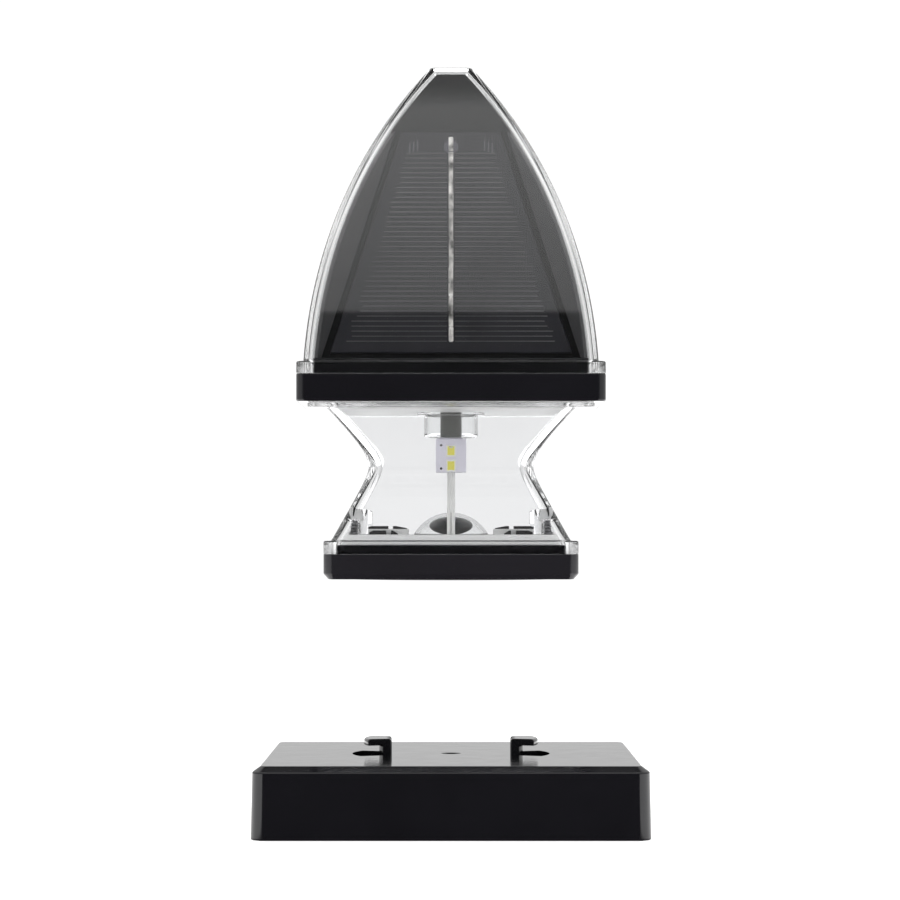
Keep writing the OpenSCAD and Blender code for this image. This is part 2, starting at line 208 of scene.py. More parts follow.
def prism(outline, matrix, thickness):
    """A flat outline of (x, y) made thick along its own z, centred on z 0, then placed by matrix."""
    bm = bmesh.new()
    lower = [bm.verts.new(matrix @ Vector((x, y, -thickness / 2))) for x, y in outline]
    upper = [bm.verts.new(matrix @ Vector((x, y, thickness / 2))) for x, y in outline]
    bridge(bm, lower, upper)
    bm.faces.new(upper)
    bm.faces.new(lower[::-1])
    bmesh.ops.recalc_face_normals(bm, faces=bm.faces)
    return bm


def block(size, at):
    bm = bmesh.new()
    bmesh.ops.create_cube(bm, size=1.0)
    bmesh.ops.scale(bm, vec=Vector(size), verts=bm.verts)
    bmesh.ops.translate(bm, vec=Vector(at), verts=bm.verts)
    return bm


def moved(bm, matrix):
    bmesh.ops.transform(bm, matrix=matrix, verts=bm.verts)
    return bm


def joined(parts):
    """One bmesh of several, as separate shells."""
    whole = bmesh.new()
    for bm in parts:
        mesh = bpy.data.meshes.new("part")
        bm.to_mesh(mesh)
        bm.free()
        whole.from_mesh(mesh)
        bpy.data.meshes.remove(mesh)
    return whole


def edge_bevel(bm, width, segments=3):
    """Rounds the edges that turn by more than BEVELLED."""
    sharp = [e for e in bm.edges if len(e.link_faces) == 2 and e.calc_face_angle(0) > BEVELLED]
    bmesh.ops.bevel(
        bm, geom=sharp, offset=width, segments=segments, profile=0.5, affect="EDGES", clamp_overlap=True
    )
    return bm


def at_corners(bm_maker, at):
    """Four copies, at the corners of a square of half width at."""
    spots = [(x, y) for x in (-at, at) for y in (-at, at)]
    return joined([moved(bm_maker(), Matrix.Translation((x, y, 0))) for x, y in spots])


def to_object(bm, name):
    mesh = bpy.data.meshes.new(name)
    bm.to_mesh(mesh)
    bm.free()
    obj = bpy.data.objects.new(name, mesh)
    bpy.context.scene.collection.objects.link(obj)
    return obj


def apply_modifiers(obj):
    graph = bpy.context.evaluated_depsgraph_get()
    mesh = bpy.data.meshes.new_from_object(obj.evaluated_get(graph))
    obj.modifiers.clear()
    obj.data = mesh


def carve(obj, tool_bm, operation="DIFFERENCE"):
    """Cuts tool_bm out of obj, or joins it on, and leaves a clean mesh."""
    tool = to_object(tool_bm, "tool")
    mod = obj.modifiers.new("carve", "BOOLEAN")
    mod.object, mod.operation, mod.solver = tool, operation, "EXACT"
    apply_modifiers(obj)
    bpy.data.objects.remove(tool)


def smooth(obj):
    """Smooth shading that stops at the sharp edges, with large faces kept flat."""
    bm = bmesh.new()
    bm.from_mesh(obj.data)
    bmesh.ops.remove_doubles(bm, verts=bm.verts, dist=0.0005)
    for face in bm.faces:
        face.smooth = True
    for edge in bm.edges:
        edge.smooth = len(edge.link_faces) == 2 and edge.calc_face_angle(0) < SHARP
    bm.to_mesh(obj.data)
    bm.free()
    weighted = obj.modifiers.new("normals", "WEIGHTED_NORMAL")
    weighted.keep_sharp = True
    apply_modifiers(obj)


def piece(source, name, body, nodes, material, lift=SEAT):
    """A finished piece on its body: millimetres above a plane lift high become metres in the frame."""
    obj = source if isinstance(source, bpy.types.Object) else to_object(source, name)
    obj.name = obj.data.name = name
    smooth(obj)
    obj.data.transform(Matrix.Scale(MM, 4) @ Matrix.Translation((0, 0, lift)))
    obj.data.materials.clear()
    obj.data.materials.append(material)
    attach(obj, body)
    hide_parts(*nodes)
    return obj


# ---------------------------------------------------------------- materials


RIM_ROUGH = 0.16  # the dome's and waist's flanges are a little frosted
COARSE, FINE, FAINT = 0.000012, 0.000002, 0.0000006  # depths of grain, in metres
WAVY, WAVIER = 0.00001, 0.000015  # depths of the clear pieces' flow waves


def new_material(name):
    mat = bpy.data.materials.new(name)
    mat.use_nodes = True
    nodes, links = mat.node_tree.nodes, mat.node_tree.links
    return mat, nodes, links, nodes["Principled BSDF"]


def node(nodes, kind, **values):
    """A new node; each value is one of its own settings, or the default of one of its inputs."""
    made = nodes.new(kind)
    for key, value in values.items():
        if hasattr(made, key):
            setattr(made, key, value)
        else:
            made.inputs[key].default_value = value
    return made


def math_node(nodes, links, operation, a, b=0.0):
    """A Math node on two numbers or sockets; gives its output."""
    made = node(nodes, "ShaderNodeMath", operation=operation)
    for socket, value in zip(made.inputs, (a, b)):
        if isinstance(value, (int, float)):
            socket.default_value = value
        else:
            links.new(value, socket)
    return made.outputs[0]


def noise_of(nodes, links, scale, detail, stretch=(1, 1, 1)):
    """Noise over the piece's own coordinates; scale is in waves per metre."""
    where = node(nodes, "ShaderNodeTexCoord")
    mapping = node(nodes, "ShaderNodeMapping")
    mapping.inputs["Scale"].default_value = stretch
    noise = node(nodes, "ShaderNodeTexNoise", Scale=scale, Detail=detail)
    links.new(where.outputs["Object"], mapping.inputs["Vector"])
    links.new(mapping.outputs["Vector"], noise.inputs["Vector"])
    return noise.outputs["Fac"]


def ramp_of(nodes, links, source, low, high, from_low=0.35, from_high=0.65):
    """A straight ramp from low to high; the default source range is where noise mostly lies."""
    made = node(nodes, "ShaderNodeMapRange")
    made.inputs["From Min"].default_value = from_low
    made.inputs["From Max"].default_value = from_high
    made.inputs["To Min"].default_value = low
    made.inputs["To Max"].default_value = high
    links.new(source, made.inputs["Value"])
    return made.outputs["Result"]


def colours_of(nodes, links, source, stops):
    """A colour ramp through stops of (place, colour)."""
    ramp = node(nodes, "ShaderNodeValToRGB")
    elements = ramp.color_ramp.elements
    while len(elements) < len(stops):
        elements.new(0.5)
    for element, (place, colour) in zip(elements, stops):
        element.position = place
        element.color = (*colour, 1)
    links.new(source, ramp.inputs["Fac"])
    return ramp.outputs["Color"]


def bump_of(nodes, links, source, bsdf, distance):
    """Gives a material's surface the source's bumps, distance metres deep."""
    bump = node(nodes, "ShaderNodeBump")
    bump.inputs["Distance"].default_value = distance
    bump.inputs["Strength"].default_value = 1.0
    links.new(source, bump.inputs["Height"])
    links.new(bump.outputs["Normal"], bsdf.inputs["Normal"])


def moulded(name, dark, light, rough, grain=2600, grain_depth=COARSE, specular=0.5):
    """Moulded plastic or rubber: slow colour drift, uneven gloss and a fine tool grain."""
    mat, nodes, links, bsdf = new_material(name)
    bsdf.inputs["Specular IOR Level"].default_value = specular
    drift = noise_of(nodes, links, 38, 4)
    links.new(colours_of(nodes, links, drift, [(0.3, dark), (0.7, light)]), bsdf.inputs["Base Color"])
    patches = noise_of(nodes, links, 160, 5)
    links.new(ramp_of(nodes, links, patches, rough[0], rough[1]), bsdf.inputs["Roughness"])
    bump_of(nodes, links, noise_of(nodes, links, grain, 2), bsdf, grain_depth)
    return mat


def within(nodes, links, low, high):
    """1 between two heights above the seat, in millimetres."""
    where = node(nodes, "ShaderNodeTexCoord")
    split = node(nodes, "ShaderNodeSeparateXYZ")
    links.new(where.outputs["Object"], split.inputs[0])
    above = math_node(nodes, links, "GREATER_THAN", split.outputs["Z"], (SEAT + low) * MM)
    below = math_node(nodes, links, "LESS_THAN", split.outputs["Z"], (SEAT + high) * MM)
    return math_node(nodes, links, "MULTIPLY", above, below)


def clear(name, tint, rough, wave_depth, edge=None, mirror=1.0, frosted=()):
    """Clear moulded plastic: full transmission, with faint flow waves in its skin.

    Where it is seen edge on, its colour darkens to edge, a painted shade along the edges that stands in
    for refracted shade. Mirror scales how much it reflects, and frosted lists the heights between which
    it is matt.
    """
    mat, nodes, links, bsdf = new_material(name)
    bsdf.inputs["Base Color"].default_value = (*tint, 1)
    bsdf.inputs["Specular Tint"].default_value = (mirror, mirror, mirror, 1)
    if edge:
        # painted shade: the colour darkens towards edge where the surface is seen edge on
        facing = node(nodes, "ShaderNodeLayerWeight", Blend=0.5).outputs["Facing"]
        painted_edge_shade = colours_of(nodes, links, facing, [(0.82, tint), (0.97, edge)])
        links.new(painted_edge_shade, bsdf.inputs["Base Color"])
    bsdf.inputs["Transmission Weight"].default_value = 1.0
    bsdf.inputs["IOR"].default_value = 1.49
    haze = noise_of(nodes, links, 90, 4)
    roughness = ramp_of(nodes, links, haze, rough[0], rough[1])
    for low, high in frosted:
        matt = math_node(nodes, links, "MULTIPLY", within(nodes, links, low, high), RIM_ROUGH)
        roughness = math_node(nodes, links, "MAXIMUM", roughness, matt)
    links.new(roughness, bsdf.inputs["Roughness"])
    bump_of(nodes, links, noise_of(nodes, links, 45, 2, (1, 1, 0.35)), bsdf, wave_depth)
    return mat


def metal(name, low, high, rough, scale, stretch=(1, 1, 1)):
    """Metal with streaks of two tones, rougher where it is darker."""
    mat, nodes, links, bsdf = new_material(name)
    bsdf.inputs["Metallic"].default_value = 1.0
    streaks = noise_of(nodes, links, scale, 5, stretch)
    links.new(colours_of(nodes, links, streaks, [(0.35, low), (0.62, high)]), bsdf.inputs["Base Color"])
    links.new(ramp_of(nodes, links, streaks, rough[1], rough[0]), bsdf.inputs["Roughness"])
    bump_of(nodes, links, streaks, bsdf, 0.00002)
    return mat


def cell_material():
    """A dark cell under satin epoxy, with a slow drift of blue-grey."""
    mat, nodes, links, bsdf = new_material("Solar_cell")
    drift = noise_of(nodes, links, 120, 6, (1, 1, 0.5))
    stops = [(0.3, (0.0135, 0.0132, 0.0168)), (0.7, (0.019, 0.0184, 0.023))]
    links.new(colours_of(nodes, links, drift, stops), bsdf.inputs["Base Color"])
    links.new(ramp_of(nodes, links, drift, 0.32, 0.42), bsdf.inputs["Roughness"])
    bsdf.inputs["Specular IOR Level"].default_value = 0.2
    bump_of(nodes, links, noise_of(nodes, links, 300, 1), bsdf, 0.000004)
    return mat


BLACK = moulded(
    "Black_satin", (0.0052, 0.005, 0.0065), (0.0066, 0.0064, 0.0082), (0.09, 0.12), grain_depth=FINE
)
BLACK_BASE = moulded(
    "Black_base", (0.0105, 0.0098, 0.012), (0.0125, 0.0118, 0.0145), (0.12, 0.16), grain_depth=FINE
)
BLACK_INNER = moulded(
    "Black_inner", (0.003, 0.003, 0.0035), (0.004, 0.004, 0.0045), (0.42, 0.5), 1200, FAINT, 0.1
)
# The fins' black is much lighter than the carrier body's black: a painted sheen that stands in for the
# fins' satin reflection
BLACK_FIN_PAINTED_SHEEN = moulded(
    "Black_fin_painted_sheen", (0.034, 0.034, 0.036), (0.045, 0.045, 0.047), (0.35, 0.45), 1200, FAINT
)
RUBBER = moulded("Black_rubber", (0.010, 0.010, 0.011), (0.018, 0.018, 0.019), (0.6, 0.75), 1500)
SWITCH_BLACK = moulded(
    "Switch_black", (0.008, 0.009, 0.012), (0.012, 0.014, 0.018), (0.3, 0.4), specular=0.2
)
WHITE = moulded("White_reflector", (0.84, 0.84, 0.84), (0.90, 0.90, 0.89), (0.35, 0.5), 1800)
GREY = moulded("Grey_post", (0.215, 0.215, 0.204), (0.26, 0.26, 0.248), (0.35, 0.5), 1500)
BOARD_WHITE = moulded("Board_white", (0.86, 0.84, 0.94), (0.91, 0.89, 0.98), (0.4, 0.55), 2200)
LED_WHITE = moulded("Led_case", (0.93, 0.93, 0.88), (0.98, 0.98, 0.93), (0.35, 0.45), 2200)
PHOSPHOR = moulded("Led_phosphor", (0.93, 0.86, 0.10), (0.98, 0.93, 0.24), (0.3, 0.4), 3000)
WIRE_WHITE = moulded("Wire_white", (0.84, 0.84, 0.83), (0.92, 0.92, 0.90), (0.35, 0.45), 1500)
WIRE_RED = moulded("Wire_red", (0.45, 0.02, 0.015), (0.6, 0.03, 0.02), (0.35, 0.45), 1500)
GREEN = moulded("Board_green", (0.010, 0.10, 0.045), (0.014, 0.14, 0.06), (0.3, 0.4), 1200)
COMPONENT = moulded("Component_black", (0.012, 0.012, 0.013), (0.02, 0.02, 0.021), (0.45, 0.6), 1800)
WRAP = moulded("Battery_wrap", (0.012, 0.06, 0.24), (0.02, 0.085, 0.3), (0.25, 0.35), 900)
RIMS = ((RIM_Z - 0.1, SHELL_Z - 0.1),)
FLANGES = ((FLANGE_Z - 0.1, WALL_Z - 0.1), (UPPER_Z + 0.1, COLLAR_Z))
CLEAR = clear("Clear_dome", (0.985, 0.99, 0.99), (0.0, 0.02), WAVY, frosted=RIMS)
CLEAR_WAIST = clear(
    "Clear_waist", (0.90, 0.903, 0.908), (0.0, 0.03), WAVIER, mirror=0.35, frosted=FLANGES
)
# The small clear pieces get painted dark edges, a painted shade where they are seen edge on
CLEAR_SMALL = clear(
    "Clear_small", (0.975, 0.98, 0.98), (0.0, 0.03), WAVY, edge=(0.16, 0.16, 0.17), mirror=0.35
)
STEEL = metal("Screw_steel", (0.16, 0.16, 0.17), (0.30, 0.30, 0.31), (0.25, 0.45), 900)
SILVER = metal("Bus_silver", (0.16, 0.155, 0.15), (0.80, 0.78, 0.75), (0.25, 0.55), 520, (1, 1, 0.45))
CONTACT = metal("Contact_metal", (0.55, 0.54, 0.52), (0.72, 0.71, 0.69), (0.2, 0.35), 600)
CELL = cell_material()
PAD = moulded("Pad_silver", (0.06, 0.055, 0.075), (0.11, 0.10, 0.13), (0.4, 0.6), 1500)
FINGER = moulded("Finger_silver", (0.045, 0.045, 0.048), (0.15, 0.15, 0.155), (0.4, 0.6), 1500)


# ---------------------------------------------------------------- post cap


def build_cap():
    """The cap's shell with its arc slots and screw hole, and the two hooks, in heights from its rim."""
    wall, top, chamfer, chamfer_h, corner = 3.0, CAP_H, 2.85, 1.7, 5.0
    path = [
        (CAP_W - wall - 1, top - wall, 0),
        (CAP_W - wall, top - wall, 0.8),
        (CAP_W - wall, 0, 0.35),
        (CAP_W, 0, 0.45),
        (CAP_W - 0.4, top - chamfer_h, 0.7),
        (CAP_W - chamfer, top, 0.6),
        (CAP_W - chamfer - 2, top, 0),
    ]
    body = to_object(square_body(soften(path), follow(CAP_W, corner)), "cap")
    stem_out = HOOK_R + HOOK_STEM
    low, high = top - wall - 2, top + 5
    slot = [(stem_out, low), (SLOT_R, low), (SLOT_R, high), (stem_out, high)]
    bore, dish = 2.25, 3.0
    hole = [(0, low), (bore, low), (bore, top - 0.5), (dish, top + 0.01), (dish, top + 2)]
    tools = [arc_body(slot, SLOT_HALF, side) for side in (0, 180)] + [turned_body(hole)]
    for tool in tools:
        carve(body, tool)
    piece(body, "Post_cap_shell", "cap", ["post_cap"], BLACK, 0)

    top_z, under = top + HOOK_H, top + HOOK_H - HOOK_ARM_T
    hook = [
        (HOOK_R, top - 2, 0),
        (stem_out, top - 2, 0),
        (stem_out, under, 0.45),
        (stem_out + HOOK_ARM, under, 0.35),
        (stem_out + HOOK_ARM, top_z, 1.0),
        (HOOK_R, top_z, 0.9),
    ]
    hooks = joined([arc_body(soften(hook, True), HOOK_HALF, side) for side in (0, 180)])
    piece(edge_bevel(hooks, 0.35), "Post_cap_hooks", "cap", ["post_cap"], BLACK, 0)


# ---------------------------------------------------------------- base


def pocket_roofs(grow=0.0):
    """The hook pockets' roofs, which stand through the floor in a low front row and a back row.

    Each is (near, far, near end's drop, far end's drop), with a rib's gap between neighbours. They
    are mirrored to both sides. Grow makes the tool that cuts the floor's slots for them.
    """
    roofs = []
    low = BASE_TOP - 0.5
    rows = (
        (1, ((12.9, 17.0, -0.6, 0), (18.4, 24.9, 0, -0.5)), ROOF_BACK_Z),
        (-1, ((15.5, 17.4, -0.9, 0), (18.9, 23.7, 0, -0.5)), ROOF_FRONT_Z),
    )
    for along, shapes, top in rows:
        for near, far, near_drop, far_drop in shapes:
            near, far = near - grow, far + grow
            shape = [(near, low, 0), (far, low, 0), (far, top + far_drop, 0.2)]
            shape += [((near + 3 * far) / 4, top, 0), (near, top + near_drop, 0.1)]
            depth = ROOF_DEPTH + 2 * grow
            middle = along * (ROOF_RIB + ROOF_DEPTH) / 2
            for mirror in (-1, 1):
                outline = soften([(mirror * x, z, f) for x, z, f in shape], True, 3)
                upright = Matrix.Translation((0, middle, 0)) @ Matrix.Rotation(math.pi / 2, 4, "X")
                roofs.append(edge_bevel(prism(outline, upright, depth), 0.15))
    return joined(roofs)


def build_base():
    """The base plate with its round recess, the tabs that go under the hooks, and the waist's screws."""
    half, step = BASE_W, 32.3
    path = [
        (half - 3.0, BASE_Z, 0),
        (half - 1.4, BASE_Z, 0.5),
        (half, BASE_Z + 1.5, 0.6),
        (half, FLANGE_Z, 0.12),
        (step, FLANGE_Z, 0),
        (step, BASE_TOP, 0.4),
        (step - 1.5, BASE_TOP, 0),
    ]
    body = to_object(square_body(soften(path), follow(half, 3.5)), "base")
    recess_r, recess_top, button_r = 26.4, 5.4, 3.7
    recess = [(0, -2), (recess_r, -2), (recess_r, recess_top), (0, recess_top)]
    groove_in, groove_out, groove_top = 29.4, 32.6, 2.5
    groove = [(groove_in, -2), (groove_out, -2), (groove_out, groove_top), (groove_in, groove_top)]
    button = [(0, 0), (button_r, 0), (button_r, 9), (0, 9)]
    carve(body, turned_body(recess))
    carve(body, turned_body(groove, True))
    carve(body, turned_body(button))
    head_r, head_top, hole_r = 3.0, 3.0, 1.6
    bore = [(0, -2), (head_r, -2), (head_r, head_top), (hole_r, head_top), (hole_r, 14), (0, 14)]
    carve(body, at_corners(lambda: turned_body(bore), SCREW_AT))
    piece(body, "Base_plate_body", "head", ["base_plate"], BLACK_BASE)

    near, far, under, over = 21.6, 27.0, 0.3, 2.4
    tab = [(near, under, 0.3), (far, under, 0), (far, over, 0), (near, over, 0.5)]
    tabs = joined([arc_body(soften(tab, True), 35, side) for side in (90, 270)])
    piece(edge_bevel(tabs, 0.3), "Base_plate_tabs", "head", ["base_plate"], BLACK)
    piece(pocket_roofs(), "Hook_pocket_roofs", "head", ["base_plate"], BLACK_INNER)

    head, drive, core, thread, pitch, head_low = 2.7, 1.2, 1.15, 1.42, 0.9, 1.2
    screw = [(0, 1.7), (drive, 1.7), (drive, head_low), (head, head_low)]
    screw += [(head, head_top), (1.4, head_top)]
    for turn in range(14):
        z = head_top + 0.4 + turn * pitch
        screw += [(core, z), (thread, z + 0.3), (thread, z + 0.45)]
    screw += [(1.0, 16.2), (0, 16.4)]
    screws = at_corners(lambda: turned_body(screw), SCREW_AT)
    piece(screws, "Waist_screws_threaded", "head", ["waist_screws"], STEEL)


def build_floor():
    """The white floor of the waist, cut for what stands through it, and its cross ribs."""
    half, low, screw_hole, centre_hole = 30.8, BASE_TOP + 0.05, 3.2, 9.5
    path = [(half - 1.3, low, 0), (half, low, 0.3), (half, FLOOR_Z, 0.5), (half - 1.8, FLOOR_Z, 0)]
    body = to_object(square_body(soften(path), follow(half, 2.0)), "floor")

    def hole(radius):
        return turned_body([(0, 5), (radius, 5), (radius, 20), (0, 20)])

    carve(body, at_corners(lambda: hole(screw_hole), SCREW_AT))
    carve(body, hole(centre_hole))
    carve(body, pocket_roofs(0.15))
    hole_y = WIRE_FOOT[0] + 0.6
    carve(body, edge_bevel(block((2.6, 4, 20), (0, hole_y, FLOOR_Z)), 0.6))
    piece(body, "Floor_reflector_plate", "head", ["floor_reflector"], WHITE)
    ribs = []
    rib_len, rib_x, rib_low = 13.2, 18.9, FLOOR_Z - 0.5
    for side in (-1, 1):
        size = (rib_len, ROOF_RIB - 0.4, CROSS_RIB_Z - rib_low)
        ribs.append(edge_bevel(block(size, (side * rib_x, 0, (rib_low + CROSS_RIB_Z) / 2)), 0.2))
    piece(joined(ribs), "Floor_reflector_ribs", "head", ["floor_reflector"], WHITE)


def wire_body():
    """One wire: out from the switch under the floor, round a bend, then up to the LED core."""
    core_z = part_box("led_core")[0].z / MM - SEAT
    foot_y, foot_z = WIRE_FOOT
    path = soften([(-6.6, foot_z, 0), (foot_y, foot_z, 1.4), (WIRE_TOP_Y, core_z, 0)], False, 8)
    bm = bmesh.new()
    rows = []
    for i, (y, z) in enumerate(path):
        before, after = path[max(i - 1, 0)], path[min(i + 1, len(path) - 1)]
        along = Vector((0, after[0] - before[0], after[1] - before[1])).normalized()
        across = Vector((1, 0, 0))
        up = along.cross(across)
        turns = steps(0, 2 * math.pi, WIRE_SIDES)[:-1]
        ring = [across * math.cos(a) + up * math.sin(a) for a in turns]
        rows.append([bm.verts.new(Vector((0, y, z)) + spoke * WIRE_R) for spoke in ring])
    for low, high in zip(rows, rows[1:]):
        bridge(bm, low, high)
    bm.faces.new(rows[-1])
    bm.faces.new(rows[0][::-1])
    bmesh.ops.recalc_face_normals(bm, faces=bm.faces)
    return bm


def build_ceiling():
    """White plate over the waist, with a thin sheet that runs out over the waist's upper flange."""
    inner, outer, sheet, hole_r = 30.5, 32.6, 0.2, 2.6
    plate = [
        (inner, CEILING_Z, 0),
        (outer, CEILING_Z, 0.3),
        (outer, COLLAR_Z - sheet, 0),
        (TOP_W - 0.3, COLLAR_Z - sheet, 0.05),
        (TOP_W - 0.3, COLLAR_Z, 0.05),
        (inner, COLLAR_Z, 0),
    ]
    body = to_object(square_body(soften(plate), follow(TOP_W, 2.0)), "ceiling")
    carve(body, turned_body([(0, 40), (hole_r, 40), (hole_r, 60), (0, 60)]))
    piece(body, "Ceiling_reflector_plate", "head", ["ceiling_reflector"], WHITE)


def build_switch():
    """The switch under its clear dome, as an upright oval on a stem, and its pair of wires."""
    centre, outer, inner, hole = 6.6, 12.45, 11.65, 1.1

    def shell(radius, angles):
        return [(radius * math.cos(a), centre + radius * math.sin(a)) for a in angles]

    foot_out, foot_in = math.asin((FLOOR_Z - centre) / outer), math.asin((FLOOR_Z - centre) / inner)
    path = shell(outer, steps(foot_out, math.acos(hole / outer), 24))
    path += shell(inner, steps(math.acos(hole / inner), foot_in, 24))
    dome = turned_body(path, True)
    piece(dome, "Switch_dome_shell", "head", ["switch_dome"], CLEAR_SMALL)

    wide, tall, middle, stem, foot = 6.35, 2.6, 15.2, 1.2, 9.2
    oval = [(0, foot), (stem, foot)]
    oval += [(wide * math.cos(a), middle + tall * math.sin(a)) for a in steps(-1.35, math.pi / 2, 30)]
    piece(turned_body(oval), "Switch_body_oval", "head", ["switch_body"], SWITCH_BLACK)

    wires = [moved(wire_body(), Matrix.Translation((side * WIRE_X, 0, 0))) for side in (-1, 1)]
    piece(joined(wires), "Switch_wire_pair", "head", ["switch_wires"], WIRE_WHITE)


# ---------------------------------------------------------------- waist


def build_waist():
    """The clear hourglass, with four bosses for the screws and a rib up the middle of each side."""
    half, pocket, flange_corner, wall_corner = BASE_W, 32.5, 3.3, 2.2
    outer = [(half, FLANGE_Z, 0.25), (half, WALL_Z, 0.5), (waist_half(WALL_Z) + 0.1, WALL_Z, 0.5)]
    outer += [(waist_half(z), z, 0) for z in steps(WALL_Z + 0.9, UPPER_Z - 0.8, 40)]
    flange_top = COLLAR_Z - 0.22
    outer += [(waist_half(UPPER_Z) + 0.1, UPPER_Z, 0.5), (TOP_W, UPPER_Z, 0.3), (TOP_W, flange_top, 0.2)]
    inner = [(waist_half(z) - CLEAR_WALL, z, 0) for z in steps(flange_top, BASE_TOP + 0.1, 44)]
    path = soften(outer + inner + [(pocket, FLANGE_Z, 0.1)], True)

    def corner(h, z):
        on_flange = h > half - 0.6 and z < PINCH_Z
        return flange_corner if on_flange else wall_corner

    body = to_object(square_body(path, corner, True), "waist")
    low = BASE_TOP + 0.15
    boss_top, hole_r, hole_top = 19.8, 1.5, 16.6
    boss = [(0, low), (3.0, low), (2.85, boss_top - 0.4), (2.45, boss_top), (0, boss_top)]
    carve(body, at_corners(lambda: turned_body(boss), SCREW_AT - 0.9), "UNION")
    hole = [(0, 5), (hole_r, 5), (hole_r, hole_top), (0, hole_top + 0.3)]
    carve(body, at_corners(lambda: turned_body(hole), SCREW_AT))
    rib_top, rib_t = PINCH_Z + 6, 1.1
    inside = [(waist_half(z) - CLEAR_WALL - 0.7, z) for z in steps(FLOOR_Z + 0.1, rib_top, 20)]
    middle = [(waist_half(z) - CLEAR_WALL * 0.5, z) for z in steps(rib_top, FLOOR_Z + 0.1, 20)]
    for turn in (0, 90, 180, 270):
        upright = Matrix.Rotation(math.radians(turn), 4, "Z") @ Matrix.Rotation(math.pi / 2, 4, "X")
        carve(body, prism(inside + middle, upright, rib_t), "UNION")
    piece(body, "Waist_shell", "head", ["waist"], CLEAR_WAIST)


# ---------------------------------------------------------------- light column


def build_light():
    """The square LED column, its post and the clear cup round it."""
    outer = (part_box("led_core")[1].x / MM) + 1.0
    board_h, board_t, board_w = 10.0, 1.0, 8.85
    led_w, led_h, case_t = 2.8, 3.5, 0.7
    lens_w, lens_h, lens_t, lens_proud = 2.1, 2.6, 0.3, 0.05
    mark_x, mark_heights = -2.85, (39.0, 32.1)
    middle_z = BOARDS_Z + board_h / 2
    boards, cases, lenses, marks = [], [], [], []
    core = outer - board_t
    for k in range(4):
        turn = Matrix.Rotation(math.pi / 2 * k, 4, "Z")
        wide = k % 2 == 0
        thick = board_t if wide else board_w / 2 - case_t - lens_proud - core
        width = board_w if wide else 2 * core
        face = core + thick
        board = block((width, thick, board_h), (0, -face + thick / 2, middle_z))
        boards.append(moved(edge_bevel(board, min(0.12, thick * 0.3)), turn))
        for z in LED_HEIGHTS:
            case = block((led_w, case_t, led_h), (0, -face - case_t / 2, z))
            cases.append(moved(edge_bevel(case, 0.15), turn))
            lens = block((lens_w, lens_t, lens_h), (0, -face - case_t + lens_t / 2 - lens_proud, z))
            lenses.append(moved(edge_bevel(lens, 0.12), turn))
        for z in mark_heights:
            at = Matrix.Translation((mark_x, -face, z)) @ Matrix.Rotation(math.pi / 2, 4, "X")
            pad = moved(turned_body([(0.32, -0.1), (0.38, 0.0), (0.3, 0.08)]), at)
            marks.append(moved(pad, turn))
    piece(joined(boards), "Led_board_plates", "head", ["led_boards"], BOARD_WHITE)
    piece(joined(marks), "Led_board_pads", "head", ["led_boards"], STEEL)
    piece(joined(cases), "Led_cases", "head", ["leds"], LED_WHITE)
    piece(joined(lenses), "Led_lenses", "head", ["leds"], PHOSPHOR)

    post_r = 3.1
    post = [(0, POST_Z, 0), (post_r, POST_Z, 0.3), (post_r, CEILING_Z, 0), (0, CEILING_Z, 0)]
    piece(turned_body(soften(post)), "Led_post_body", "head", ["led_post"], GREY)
    cup, flange, bore = 7.8, 9.8, 7.0
    holder = [
        (bore - 0.3, POST_Z, 0.3),
        (cup, POST_Z, 0.9),
        (cup, CEILING_Z - 1, 0.3),
        (flange, CEILING_Z - 1, 0.2),
        (flange, CEILING_Z, 0.1),
        (bore, CEILING_Z, 0.1),
        (bore, POST_Z + 1.2, 0.3),
    ]
    holder_bm = turned_body(soften(holder, True), True)
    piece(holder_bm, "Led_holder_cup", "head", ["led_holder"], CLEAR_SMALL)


# ---------------------------------------------------------------- collar and dome


